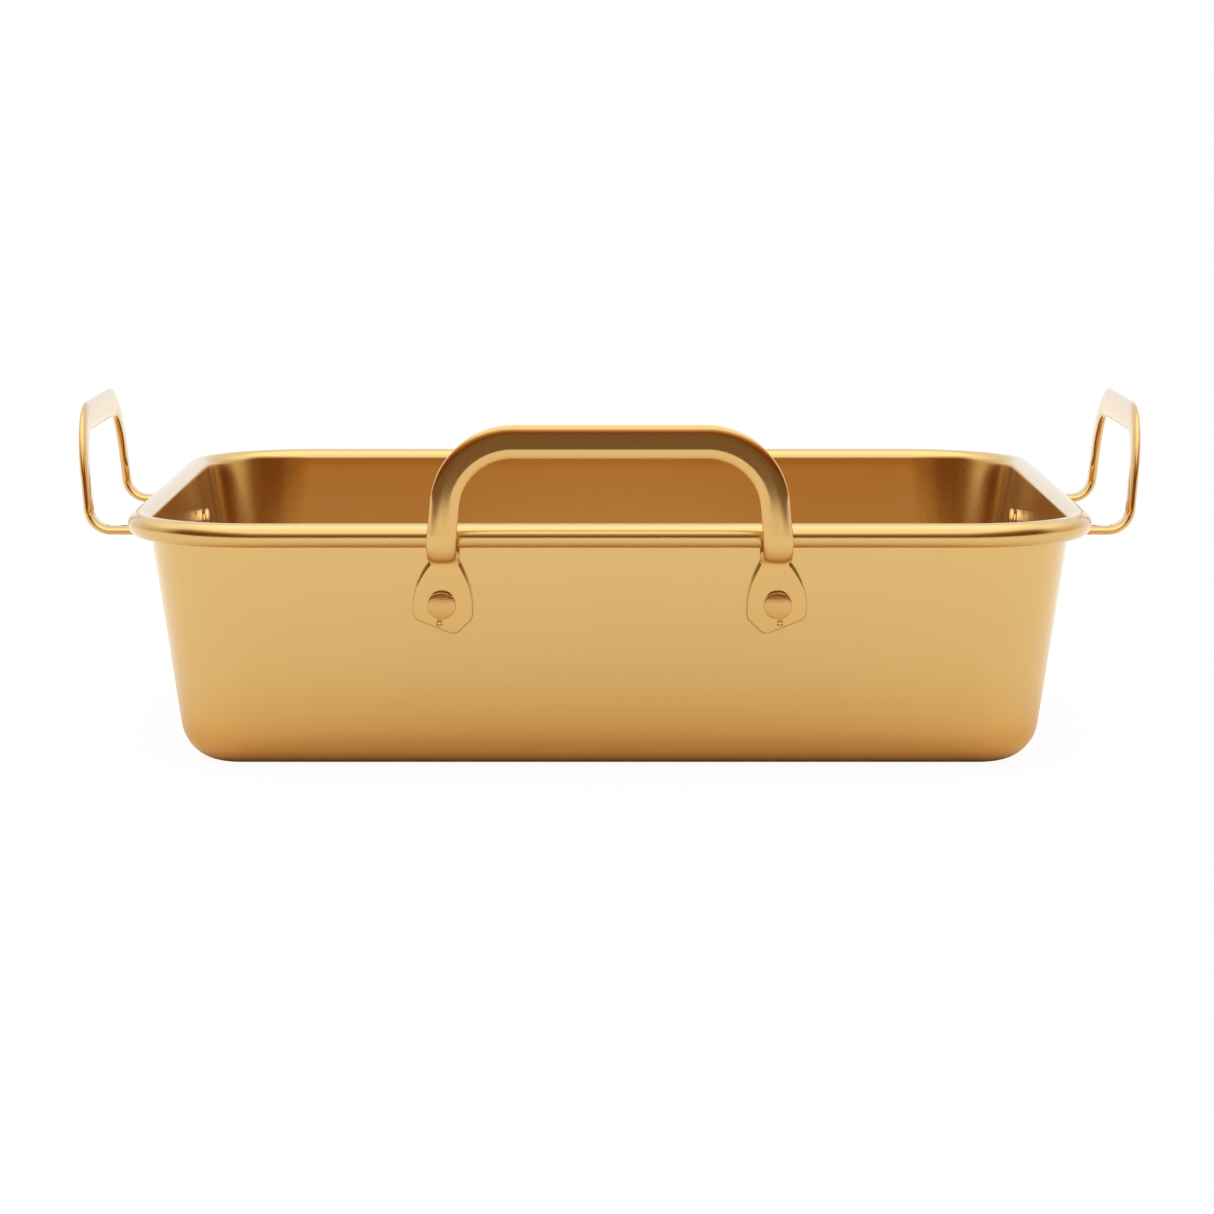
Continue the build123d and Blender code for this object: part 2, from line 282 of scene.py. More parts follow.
# ---------------------------------------------------------------- pan body
def plan_samples(side_steps, corner_steps):
    """Directions round a rounded rectangle.

    Each sample has an outward normal n and a corner share u. The outline is
    (half size - radius) * u + radius * n: along a side u slides from corner to corner
    while n stands still, and round a corner n turns while u stands still.
    """
    normals, shares = [], []
    for quarter in range(4):
        start = math.pi / 2 * quarter
        turn = start + np.linspace(0, math.pi / 2, corner_steps, endpoint=False)
        corner = np.sign([math.cos(start + math.pi / 4), math.sin(start + math.pi / 4)])
        after = np.sign([math.cos(start + 3 * math.pi / 4), math.sin(start + 3 * math.pi / 4)])
        slide = np.linspace(0, 1, side_steps, endpoint=False)[:, None]
        along = start + math.pi / 2
        normals += [np.stack([np.cos(turn), np.sin(turn)], axis=-1),
                    np.tile([math.cos(along), math.sin(along)], (side_steps, 1))]
        shares += [np.tile(corner, (corner_steps, 1)), corner + slide * (after - corner)]
    return np.vstack(normals), np.vstack(shares)


def wall_offset(pan, height):
    """Outside of a wall at a height, measured outwards from its place at bead level."""
    return pan.draft * (height - bead_level(pan))


def bead_level(pan):
    """Height of the rolled rim's middle."""
    return PAN_HIGH[2] - pan.bead_diameter / 2


def wall_half_size(pan):
    """Half length and half width of the walls' outside at bead level."""
    inset = pan.bead_diameter - pan.sheet
    return np.array([PAN_HIGH[0] - inset, PAN_HIGH[1] - inset])


def skin(pan, inset, base_steps, fillet_steps, wall_steps):
    """One face of the sheet below the bead, from the base's middle up to the bead.

    Each row has an outward offset, a height, a plan radius and a scale. The base is one
    outline scaled from nothing to full size, the fillet is an arc tangent to base and
    wall, and the wall is a straight line whose plan radius grows evenly with height.
    """
    slope = math.atan(pan.draft)
    level = bead_level(pan)
    radius = pan.base_fillet - inset
    inset_level = inset * math.hypot(1, pan.draft)
    top_corner = pan.rim_corner - pan.bead_diameter + pan.sheet - inset
    base_corner = pan.base_corner - inset
    tangent_level = inset + radius * (1 - math.sin(slope))
    tangent_offset = wall_offset(pan, tangent_level) - inset_level
    tangent_corner = base_corner + (top_corner - base_corner) * tangent_level / level
    turn = np.linspace(-math.pi / 2, -slope, fillet_steps)
    reach = radius * (np.cos(turn) - math.cos(slope))
    fillet = np.stack([tangent_offset + reach, inset + radius * (1 + np.sin(turn)),
                       tangent_corner + reach, np.ones(fillet_steps)], axis=-1)
    base = np.tile(fillet[0], (base_steps, 1))
    base[:, 3] = np.linspace(0, 1, base_steps + 1)[1:]
    height = np.linspace(tangent_level, level, wall_steps + 1)[1:]
    wall = np.stack([wall_offset(pan, height) - inset_level, height,
                     base_corner + (top_corner - base_corner) * height / level,
                     np.ones(wall_steps)], axis=-1)
    return np.vstack([base[:-1], fillet, wall])


def curl(pan, radius, steps):
    """One face of the rolled edge: an arc round the bead's middle, from the wall outwards and under."""
    slope = math.atan(pan.draft)
    turn = np.linspace(math.pi - slope, math.pi - pan.curl_angle, steps)
    offset = pan.bead_diameter / 2 - pan.sheet + radius * np.cos(turn)
    top_corner = pan.rim_corner - pan.bead_diameter + pan.sheet
    return np.stack([offset, bead_level(pan) + radius * np.sin(turn), top_corner + offset,
                     np.ones(steps)], axis=-1)


def pan_rings(pan):
    """The whole closed skin as rings: outside up to the bead, round the curl and back down inside.

    A ring is scale * ((half size + offset - radius) * u + radius * n) at its height.
    """
    bead = pan.bead_diameter / 2
    rows = np.vstack([
        skin(pan, 0.0, *SKIN_STEPS),
        curl(pan, bead - pan.sheet, 30),
        curl(pan, bead, 64)[::-1],
        skin(pan, pan.sheet, *SKIN_STEPS)[::-1],
    ])
    normals, shares = plan_samples(34, 26)
    offset, height, radius, scale = (rows[:, i, None, None] for i in range(4))
    half = wall_half_size(pan)[None, None, :]
    outline = scale * ((half + offset - radius) * shares + radius * normals)
    level = np.broadcast_to(height, (*outline.shape[:2], 1))
    return np.concatenate([outline, level], axis=-1)


# ---------------------------------------------------------------- handles
def wall_axes(outward):
    """Along, up and outward directions of a wall."""
    out = np.array([*outward, 0.0])
    return np.array([-out[1], out[0], 0.0]), np.array([0.0, 0.0, 1.0]), out


def on_wall(pan, outward, points):
    """Turns points given along a wall, up, and outwards from it at bead level into the frame."""
    along, up, out = wall_axes(outward)
    half = abs(float(wall_half_size(pan) @ np.array(outward)))
    return points[..., :1] * along + points[..., 1:2] * up + (points[..., 2:3] + half) * out


def handle_sizes(handle, wall):
    """Foot level, top and width of the grip of the handle on a wall; the top comes from its CAD node."""
    front = wall == "front"
    foot = handle.front_foot if front else handle.side_foot
    width = handle.front_grip_width if front else handle.side_grip_width
    return foot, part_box(f"{wall}_handle")[1][2], width


def side_curve(pan, handle, wall):
    """Start, heading and runs and bends (length, turn) of the strap's middle seen from the side."""
    slope, lean = math.atan(pan.draft), math.atan(handle.leg_lean)
    stretch = math.hypot(1, pan.draft)
    foot_level, grip_top, _ = handle_sizes(handle, wall)
    first_turn, second_turn = math.pi / 2 - slope, math.pi / 2 - lean
    first_cut = handle.lug_bend * math.tan(first_turn / 2)
    second_cut = handle.foot_bend * math.tan(second_turn / 2)
    tip = handle.tip_level
    start = (wall_offset(pan, tip) + handle.thickness / 2 * stretch, tip)
    foot_start = wall_offset(pan, foot_level) + handle.thickness / 2 * stretch
    foot_end = handle.foot_reach + pan.bead_diameter - pan.sheet
    parts = (
        ((foot_level - tip) * stretch - first_cut, 0.0),
        (handle.lug_bend * first_turn, -first_turn),
        (foot_end - foot_start - first_cut - second_cut, 0.0),
        (handle.foot_bend * second_turn, second_turn),
        (grip_top, 0.0),
    )
    return start, math.pi / 2 - slope, parts


def bend_strap(pan, handle, wall, run):
    """Where the strap's middle lies, and which way its face looks, after a run along the strap.

    A straight part moves along its heading. A bend of radius r swings the heading
    evenly, and the point goes round the circle: start + r * (sin, -cos) of the heading.
    """
    (reach, level), heading, parts = side_curve(pan, handle, wall)
    place = np.zeros((*run.shape, 2))
    face = np.zeros((*run.shape, 2))
    begun = 0.0
    for index, (part_length, turn) in enumerate(parts):
        last = index == len(parts) - 1
        within = (run >= begun) & ((run < begun + part_length) | last)
        if index == 0:
            within |= run < begun
        done = run - begun
        angle = heading + turn / part_length * done
        if turn:
            radius = part_length / turn
            x = reach + radius * (np.sin(angle) - math.sin(heading))
            z = level - radius * (np.cos(angle) - math.cos(heading))
            reach += radius * (math.sin(heading + turn) - math.sin(heading))
            level -= radius * (math.cos(heading + turn) - math.cos(heading))
        else:
            x = reach + done * math.cos(heading)
            z = level + done * math.sin(heading)
            reach += part_length * math.cos(heading)
            level += part_length * math.sin(heading)
        place[within] = np.stack([x, z], axis=-1)[within]
        face[within] = np.stack([np.sin(angle), -np.cos(angle)], axis=-1)[within]
        heading += turn
        begun += part_length
    return place, face


def run_marks(pan, handle, wall):
    """Runs along the strap to the shoulder, the foot's two ends, the leg's start and the grip's top."""
    _, _, parts = side_curve(pan, handle, wall)
    ends = np.cumsum([part[0] for part in parts])
    shoulder = (handle.shoulder_level - handle.tip_level) * math.hypot(1, pan.draft)
    place, _ = bend_strap(pan, handle, wall, ends[3:4])
    top = ends[3] + (handle_sizes(handle, wall)[1] - place[0, 1]) * math.hypot(1, handle.leg_lean)
    return shoulder, ends[1], ends[2], ends[3], top


def fillet_corner(before, corner, after, radius, steps):
    """Arc of a radius that touches both sides of a corner, from the first side to the second."""
    before, corner, after = (np.array(p, dtype=float) for p in (before, corner, after))
    first = (before - corner) / np.linalg.norm(before - corner)
    second = (after - corner) / np.linalg.norm(after - corner)
    half = math.acos(float(np.clip(first @ second, -1, 1))) / 2
    middle = corner + (first + second) / np.linalg.norm(first + second) * radius / math.sin(half)
    touch_first = corner + first * radius / math.tan(half)
    touch_second = corner + second * radius / math.tan(half)
    sweep = math.pi - 2 * half
    share = np.linspace(0, 1, steps)[:, None]
    a, b = touch_first - middle, touch_second - middle
    return middle + (np.sin((1 - share) * sweep) * a + np.sin(share * sweep) * b) / math.sin(sweep)


def arc_through(start, middle, end, steps):
    """Circle's arc from start to end through a point between them."""
    a, b, c = (complex(*p) for p in (start, middle, end))
    w = (c - a) / (b - a)
    centre = (b - a) * (w - abs(w) ** 2) / (2j * w.imag) + a
    turn = np.angle((c - centre) / (a - centre))
    points = centre + (a - centre) * np.exp(1j * turn * np.linspace(0, 1, steps))
    return np.stack([points.real, points.imag], axis=-1)


def lug_side(pan, handle, fastener, sign):
    """One free edge of the lug in the flat strip, from its tip up to the shoulder.

    sign is +1 for the side away from the handle's middle and -1 for the side towards it.
    """
    stretch = math.hypot(1, pan.draft)
    rivet = fastener.rivet_spacing / 2

    def level(height):
        return (height - handle.tip_level) * stretch

    half = handle.lug_outer if sign > 0 else handle.lug_inner
    bulge = handle.bulge_outer if sign > 0 else handle.bulge_inner
    corner = (rivet + sign * half, level(handle.corner_level))
    middle = (rivet + sign * bulge, level(handle.bulge_level))
    shoulder = (leg_middle(handle, handle.shoulder_level) + sign * handle.width / 2,
                level(handle.shoulder_level))
    tip = (rivet - handle.tip_shift, 0.0)
    other = (rivet - sign * (handle.lug_inner if sign > 0 else handle.lug_outer), corner[1])
    arc = arc_through(corner, middle, shoulder, 40)
    tip_round = fillet_corner(other, tip, corner, handle.lug_corner, 25)[12:]
    corner_round = fillet_corner(tip, corner, arc[6], handle.lug_corner, 13)
    above = arc[arc[:, 1] > corner_round[-1, 1]]
    return np.vstack([tip_round, corner_round, above])


def leg_middle(handle, height):
    """Distance of a leg's centre line from the handle's middle."""
    return handle.leg_spacing / 2 - handle.leg_converging * (height - handle.leg_level)


def half_outline(pan, handle, fastener, wall):
    """Outer and inner edge of half the flat strip, row by row, from the tip to the grip's middle."""
    shoulder, foot_start, foot_end, leg_start, top = run_marks(pan, handle, wall)
    underside = top - handle_sizes(handle, wall)[2]
    outer_lug = lug_side(pan, handle, fastener, 1)
    inner_lug = lug_side(pan, handle, fastener, -1)
    lowest = max(outer_lug[0, 1], inner_lug[0, 1])
    near_tip = lowest + (shoulder - lowest) * np.linspace(0, 1, LUG_ROWS) ** 1.6
    strap_runs = np.concatenate([
        np.linspace(shoulder, foot_start, 14)[1:],
        np.linspace(foot_start, foot_end, 10)[1:],
        np.linspace(foot_end, leg_start, 18)[1:],
    ])
    lug_rows = [np.stack([np.interp(near_tip, side[:, 1], side[:, 0]), near_tip], axis=-1)
                for side in (outer_lug, inner_lug)]
    edges = []
    for sign, lug, radius, end in ((1, lug_rows[0], handle.arch_outer, top),
                                   (-1, lug_rows[1], handle.arch_inner, underside)):
        foot = leg_middle(handle, handle.shoulder_level) + sign * handle.width / 2
        strap = np.stack([np.full(len(strap_runs), foot), strap_runs], axis=-1)
        gathered = foot - handle.leg_converging * (end - leg_start)
        arch = fillet_corner((foot, leg_start), (gathered, end), (0.0, end), radius, ARCH_ROWS)
        leg = np.linspace((foot, leg_start), arch[0], 8)[1:-1]
        grip = np.linspace(arch[-1], (0.0, end), 12)[1:]
        edges.append(np.vstack([lug, strap, leg, arch, grip]))
    return edges


def forged_thickness(handle, share):
    """Thickness of the lug square to the wall, a share of the way from its tip to the strap."""
    return handle.tip_thickness + (handle.thickness - handle.tip_thickness) * share


def distance_to_line(points, line):
    """Shortest distance of each point to an open line of straight pieces."""
    start, step = line[:-1], np.diff(line, axis=0)
    share = np.einsum("psi,si->ps", points[:, None, :] - start[None], step) / (step ** 2).sum(-1)
    nearest = start[None] + np.clip(share, 0, 1)[..., None] * step[None]
    return np.linalg.norm(points[:, None, :] - nearest, axis=-1).min(axis=1)


def handle_surface(pan, handle, fastener, wall):
    """Front and back face of one handle, as (along, up, outwards) of its wall, with flat coordinates.

    The flat strip lies between its outer edge O and inner edge I, at O + c * (I - O).
    Its faces stand T / 2 from the middle, and within an edge width e of the outline they
    come down on a half oval: T / 2 * sqrt(1 - (1 - d / e) ** 2). The strip is then bent.
    """
    outer, inner = half_outline(pan, handle, fastener, wall)
    mirror = np.array([-1.0, 1.0])
    outer = np.vstack([outer, outer[-2::-1] * mirror])
    inner = np.vstack([inner, inner[-2::-1] * mirror])
    share = (1 - np.cos(np.linspace(0, math.pi, STRAP_COLUMNS))) / 2
    flat = outer[:, None] + share[None, :, None] * (inner - outer)[:, None]
    shape = flat.shape[:2]
    outline = np.vstack([outer, inner[::-1]])
    edge_distance = distance_to_line(flat.reshape(-1, 2), outline).reshape(shape)
    run = flat[..., 1]
    shoulder, foot_start = run_marks(pan, handle, wall)[:2]
    thickness = forged_thickness(handle, np.clip(run / shoulder, 0, 1))
    back = -handle.thickness / 2
    middle = back + thickness / 2
    # the lug's edges are nearly square, and the strap's are half ovals
    opening = np.clip((run - shoulder) / (foot_start - shoulder), 0, 1)
    opening = opening * opening * (3 - 2 * opening)
    edge = handle.lug_edge + (handle.edge - handle.lug_edge) * opening
    depth = 1 - np.clip(edge_distance / edge, 0, 1)
    front_lift = middle + thickness / 2 * np.sqrt(1 - depth ** 2)
    back_lift = middle - thickness / 2 * np.sqrt(1 - depth ** 2)
    place, face = bend_strap(pan, handle, wall, run)

    def lifted(height):
        reach = place[..., 0] + height * face[..., 0]
        level = place[..., 1] + height * face[..., 1]
        return np.stack([flat[..., 0], level, reach], axis=-1)

    return lifted(front_lift), lifted(back_lift), flat


def handle_mesh(pan, handle, fastener, wall, outward):
    """Points, faces and flat coordinates of one handle: two faces sewn along their shared outline."""
    front, back, flat = handle_surface(pan, handle, fastener, wall)
    ring = np.concatenate([front, back[:, -2:0:-1]], axis=1)
    flat_ring = np.concatenate([flat, flat[:, -2:0:-1]], axis=1)
    poles = (ring[0].mean(axis=0), ring[-1].mean(axis=0))
    points, faces = tube_with_poles(ring, *poles)
    uv = np.vstack([flat_ring.reshape(-1, 2), flat_ring[0].mean(axis=0), flat_ring[-1].mean(axis=0)])
    return on_wall(pan, outward, points), faces, uv


# ---------------------------------------------------------------- fasteners
def turned(pan, outward, along, height, profile, steps, inwards=False):
    """A profile of (radius, height above the wall's skin) turned round an axis square to the wall."""
    slope = math.atan(pan.draft)
    side, up, out = wall_axes(outward)
    normal = out * math.cos(slope) - up * math.sin(slope)
    tangent = up * math.cos(slope) + out * math.sin(slope)
    seat = on_wall(pan, outward, np.array([along, height, wall_offset(pan, height)]))
    if inwards:
        seat = seat - normal * pan.sheet
        normal = -normal
    turn = np.linspace(0, 2 * math.pi, steps, endpoint=False)[None, :, None]
    radius, lift = profile[:, 0, None, None], profile[:, 1, None, None]
    rings = seat + radius * (np.cos(turn) * side + np.sin(turn) * tangent) + lift * normal
    return tube_with_poles(rings[1:-1], seat + profile[0, 1] * normal, seat + profile[-1, 1] * normal)


def dome(radius, height, squareness, steps):
    """Low dome from its rim to its top: r = R * cos(t) ** (2 / n) and h = H * sin(t)."""
    t = np.linspace(0, math.pi / 2, steps)
    return np.stack([radius * np.cos(t) ** (2 / squareness), height * np.sin(t)], axis=-1)


def spherical_cap(radius, low, high, steps):
    """Part of a sphere through its rim and its top: r = S * sin(t), h = high - S * (1 - cos(t))."""
    rise = high - low
    sphere = (radius ** 2 + rise ** 2) / (2 * rise)
    t = np.linspace(math.asin(radius / sphere), 0, steps)
    return np.stack([sphere * np.sin(t), high - sphere * (1 - np.cos(t))], axis=-1)


def rounded(profile_points, radius, steps=5):
    """A profile of straight lines with its inner corners rounded."""
    rows = [profile_points[:1]]
    for before, corner, after in zip(profile_points, profile_points[1:], profile_points[2:]):
        rows.append(fillet_corner(before, corner, after, radius, steps))
    return np.vstack([*rows, profile_points[-1:]])


def stud_profile(fastener):
    """Flange on the wall, neck, and a head with a low dome."""
    radius, neck = fastener.stud_diameter / 2, fastener.stud_neck / 2
    flange = fastener.stud_flange
    head = flange + fastener.stud_gap
    edge = fastener.stud_height - 0.7 * MM
    corners = np.array([[radius, 0], [radius, flange], [neck, flange], [neck, head], [radius, head],
                        [radius, edge], [radius * 0.7, fastener.stud_height - 0.1 * MM]])
    return np.vstack([[0, 0], rounded(corners, 0.35 * MM), [0, fastener.stud_height]])


def rivet_profile(pan, handle, fastener):
    """Tail dome inside, shank through sheet and lug, and domed head outside."""
    rise = (fastener.rivet_level - handle.tip_level) / (handle.shoulder_level - handle.tip_level)
    seat = forged_thickness(handle, rise)
    tail = dome(fastener.tail_diameter / 2, fastener.tail_height, 2.6, 12)[::-1] * (1, -1)
    tail[:, 1] -= pan.sheet
    head_radius, shank_radius = fastener.head_diameter / 2, fastener.shank_diameter / 2
    cap = spherical_cap(head_radius, seat + fastener.head_edge, seat + fastener.head_height, 20)
    under = seat - 0.3 * MM
    rim = fillet_corner((head_radius, under), cap[0], cap[4], 0.45 * MM, 7)
    shank = np.array([[shank_radius, -pan.sheet], [shank_radius, under], [head_radius, under]])
    return np.vstack([tail, shank, rim, cap[4:]])


# ---------------------------------------------------------------- materials
def add_node(tree, kind, inputs=None, **settings):
    """Adds a node with its settings, and links or sets its inputs."""
    node = tree.nodes.new(kind)
    for name, value in settings.items():
        setattr(node, name, value)
    for socket, value in (inputs or {}).items():
        if isinstance(value, bpy.types.NodeSocket):
            tree.links.new(value, node.inputs[socket])
        else:
            node.inputs[socket].default_value = value
    return node


def brass(finish, name, tint):
    """A material with one metal shader; returns the material, its tree and the shader."""
    material = bpy.data.materials.new(name)
    material.use_nodes = True
    tree = material.node_tree
    shader = tree.nodes["Principled BSDF"]
    shader.inputs["Metallic"].default_value = 1.0
    shader.inputs["Base Color"].default_value = tint
    # thin clear lacquer: it turns the brass pale where it is seen at a low angle
    shader.inputs["Coat Weight"].default_value = finish.lacquer
    shader.inputs["Coat Roughness"].default_value = finish.lacquer_roughness
    return material, tree, shader


def blasted_sheet_brass(finish, pan):
    """Drawn brass sheet, fine glass-bead blasted, with the rim buffed afterwards."""
    material, tree, shader = brass(finish, "blasted_sheet_brass", finish.sheet_colour)
    place = add_node(tree, "ShaderNodeTexCoord").outputs["Object"]
    # blasting grit of 0.1 mm is too fine to show, so it is drawn at 0.8 mm
    grit = add_node(tree, "ShaderNodeTexNoise", {"Vector": place, "Scale": 1 / (0.8 * MM), "Detail": 2.0})
    # slow hand-made unevenness of the blasting, about 60 mm across
    cloud = add_node(tree, "ShaderNodeTexNoise", {"Vector": place, "Scale": 1 / (60 * MM), "Detail": 3.0})
    height = add_node(tree, "ShaderNodeSeparateXYZ", {"Vector": place}).outputs["Z"]
    rim = add_node(tree, "ShaderNodeMapRange", {
        "Value": height, "From Min": bead_level(pan) - 36 * MM, "From Max": bead_level(pan) - 4 * MM,
        "To Min": finish.sheet_roughness, "To Max": finish.rim_roughness})
    uneven = add_node(tree, "ShaderNodeMapRange", {
        "Value": cloud.outputs["Fac"], "From Min": 0.3, "From Max": 0.7, "To Min": 0.92, "To Max": 1.08})
    rough = add_node(tree, "ShaderNodeMath", {0: rim.outputs["Result"], 1: uneven.outputs["Result"]},
                     operation="MULTIPLY")
    bump = add_node(tree, "ShaderNodeBump", {"Height": grit.outputs["Fac"], "Strength": 0.08,
                                             "Distance": 0.1 * MM})
    tree.links.new(rough.outputs["Value"], shader.inputs["Roughness"])
    tree.links.new(bump.outputs["Normal"], shader.inputs["Normal"])
    return material


def struck_ring(tree, flat, pan, handle, fastener):
    """Height of a ring struck into the lug below each rivet: a narrow trough at one radius."""
    stretch = math.hypot(1, pan.draft)
    along = fastener.rivet_spacing / 2 + fastener.mark_shift
    run = (fastener.rivet_level - fastener.mark_drop - handle.tip_level) * stretch
    folded = add_node(tree, "ShaderNodeVectorMath", {0: flat}, operation="ABSOLUTE").outputs["Vector"]
    gap = add_node(tree, "ShaderNodeVectorMath", {0: folded, 1: (along, run, 0.0)}, operation="DISTANCE")
    ring_radius = fastener.mark_diameter / 2 - 0.2 * MM
    ring = add_node(tree, "ShaderNodeMath", {0: gap.outputs["Value"], 1: ring_radius}, operation="SUBTRACT")
    depth = add_node(tree, "ShaderNodeMath", {0: ring.outputs["Value"]}, operation="ABSOLUTE")
    return add_node(tree, "ShaderNodeMapRange", {"Value": depth.outputs["Value"], "From Max": 0.35 * MM,
                                                 "To Min": 0.0, "To Max": 1.0}).outputs["Result"]


def brushed_strap_brass(finish, pan, handle, fastener):
    """Brass strap, belt-brushed along its length, edges rolled smooth."""
    material, tree, shader = brass(finish, "brushed_strap_brass", finish.strap_colour)
    flat = add_node(tree, "ShaderNodeUVMap", uv_map="strap").outputs["UV"]
    # brush lines of 0.05 mm are drawn 0.4 mm apart, and 25 mm long
    lines = add_node(tree, "ShaderNodeMapping", {
        "Vector": flat, "Scale": (1 / (0.4 * MM), 1 / (25 * MM), 1.0)})
    brush = add_node(tree, "ShaderNodeTexNoise", {
        "Vector": lines.outputs["Vector"], "Scale": 1.0, "Detail": 3.0})
    rough = add_node(tree, "ShaderNodeMapRange", {
        "Value": brush.outputs["Fac"], "From Min": 0.3, "From Max": 0.7,
        "To Min": finish.strap_roughness * 0.85, "To Max": finish.strap_roughness * 1.2})
    ring = add_node(tree, "ShaderNodeBump", {"Height": struck_ring(tree, flat, pan, handle, fastener),
                                             "Strength": 1.0, "Distance": 0.3 * MM})
    bump = add_node(tree, "ShaderNodeBump", {"Height": brush.outputs["Fac"], "Strength": 0.06,
                                             "Distance": 0.05 * MM, "Normal": ring.outputs["Normal"]})
    tree.links.new(rough.outputs["Result"], shader.inputs["Roughness"])
    tree.links.new(bump.outputs["Normal"], shader.inputs["Normal"])
    return material


def peened_rivet_brass(finish):
    """Soft brass rivet, hammered to its dome and left matt."""
    material, tree, shader = brass(finish, "peened_rivet_brass", finish.rivet_colour)
    place = add_node(tree, "ShaderNodeTexCoord").outputs["Object"]
    # hammer pitting about 0.5 mm across
    pits = add_node(tree, "ShaderNodeTexNoise", {"Vector": place, "Scale": 1 / (0.5 * MM), "Detail": 2.0})
    rough = add_node(tree, "ShaderNodeMapRange", {
        "Value": pits.outputs["Fac"], "From Min": 0.3, "From Max": 0.7,
        "To Min": finish.rivet_roughness * 0.8, "To Max": finish.rivet_roughness * 1.2})
    bump = add_node(tree, "ShaderNodeBump", {"Height": pits.outputs["Fac"], "Strength": 0.6,
                                             "Distance": 0.12 * MM})
    tree.links.new(rough.outputs["Result"], shader.inputs["Roughness"])
    tree.links.new(bump.outputs["Normal"], shader.inputs["Normal"])
    return material


def turned_button_brass(finish):
    """Rack button turned from brass bar and polished, a little unevenly."""
    material, tree, shader = brass(finish, "turned_button_brass", finish.strap_colour)
    place = add_node(tree, "ShaderNodeTexCoord").outputs["Object"]
    # slight unevenness of the polish, about 2 mm across
    patch = add_node(tree, "ShaderNodeTexNoise", {"Vector": place, "Scale": 1 / (2 * MM), "Detail": 1.0})
    rough = add_node(tree, "ShaderNodeMapRange", {
        "Value": patch.outputs["Fac"], "To Min": 0.14, "To Max": 0.22})
    tree.links.new(rough.outputs["Result"], shader.inputs["Roughness"])
    return material


# ---------------------------------------------------------------- operators
def settings_of(context):
    """The scene's settings for the roasting pan."""
    return context.scene.roasting_pan


class MakePanBody(bpy.types.Operator):
    """Make the drawn body with its rolled rim"""

    bl_idname = "roasting_pan.make_body"
    bl_label = "Pan body"

    def execute(self, context):
        settings = settings_of(context)
        rings = pan_rings(settings.pan)
        middle = np.array([0.0, 0.0, 1.0])
        points, faces = tube_with_poles(rings[:], rings[0, 0, 2] * middle, rings[-1, 0, 2] * middle)
        piece = add_piece("drawn_pan_body", points, faces,
                          blasted_sheet_brass(settings.finish, settings.pan))
        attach(piece, BODY)
        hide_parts("pan_body")
        return {"FINISHED"}


class MakeHandles(bpy.types.Operator):
    """Make the three loop handles"""

    bl_idname = "roasting_pan.make_handles"
    bl_label = "Loop handles"

    def execute(self, context):
        settings = settings_of(context)
        material = brushed_strap_brass(settings.finish, settings.pan, settings.handle, settings.fastener)
        for wall, outward, _ in HANDLE_WALLS:
            points, faces, uv = handle_mesh(settings.pan, settings.handle, settings.fastener, wall, outward)
            piece = add_piece(f"{wall}_loop_handle", points, faces, material, uv)
            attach(piece, BODY)
            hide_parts(f"{wall}_handle")
        return {"FINISHED"}


class MakeRivets(bpy.types.Operator):
    """Make the rivets that hold the handles"""

    bl_idname = "roasting_pan.make_rivets"
    bl_label = "Rivets"

    def execute(self, context):
        settings = settings_of(context)
        fastener = settings.fastener
        material = peened_rivet_brass(settings.finish)
        profile = rivet_profile(settings.pan, settings.handle, fastener)
        for wall, outward, ends in HANDLE_WALLS:
            for side, end in zip((-1, 1), ends):
                points, faces = turned(settings.pan, outward, side * fastener.rivet_spacing / 2,
                                       fastener.rivet_level, profile, TURNED_STEPS)
                piece = add_piece(f"{wall}_rivet_{end}", points, faces, material)
                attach(piece, BODY)
                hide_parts(f"{wall}_handle_rivet_{end}")
        return {"FINISHED"}


class MakeRackStuds(bpy.types.Operator):
    """Make the domed rack rests inside the short walls"""

    bl_idname = "roasting_pan.make_rack_studs"
    bl_label = "Rack studs"

    def execute(self, context):
        settings = settings_of(context)
        fastener = settings.fastener
        material = turned_button_brass(settings.finish)
        profile = stud_profile(fastener)
        for wall, outward, ends in HANDLE_WALLS[1:]:
            for side, end in zip((-1, 1), ends):
                points, faces = turned(settings.pan, outward, side * fastener.stud_spacing / 2,
                                       fastener.stud_level, profile, TURNED_STEPS, inwards=True)
                piece = add_piece(f"{wall}_rack_stud_{end}", points, faces, material)
                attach(piece, BODY)
                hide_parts(f"rack_stud_{wall}_{end}")
        return {"FINISHED"}


class MakeStudio(bpy.types.Operator):
    """Make the floor, the lights and the camera"""

    bl_idname = "roasting_pan.make_studio"
    bl_label = "Studio"

    def execute(self, context):
        studio = settings_of(context).studio
        make_floor(studio)
        make_lights(context, studio)
        make_camera(context, studio)
        return {"FINISHED"}


def set_ramp(node, stops):
    """Gives a colour ramp its stops: place, colour and strength."""
    ramp = node.color_ramp
    while len(ramp.elements) < len(stops):
        ramp.elements.new(1.0)
    for element, (place, tint, strength) in zip(ramp.elements, stops):
        element.position = place
        element.color = (*(strength * channel for channel in tint[:3]), 1.0)


def flat_panel(name, low, high, level, material):
    """A level rectangle that faces up."""
    corners = [(low[0], low[1], level), (high[0], low[1], level),
               (high[0], high[1], level), (low[0], high[1], level)]
    mesh = bpy.data.meshes.new(name)
    mesh.from_pydata(corners, [], [(0, 1, 2, 3)])
    mesh.materials.append(material)
    panel = bpy.data.objects.new(name, mesh)
    bpy.context.collection.objects.link(panel)
    return panel


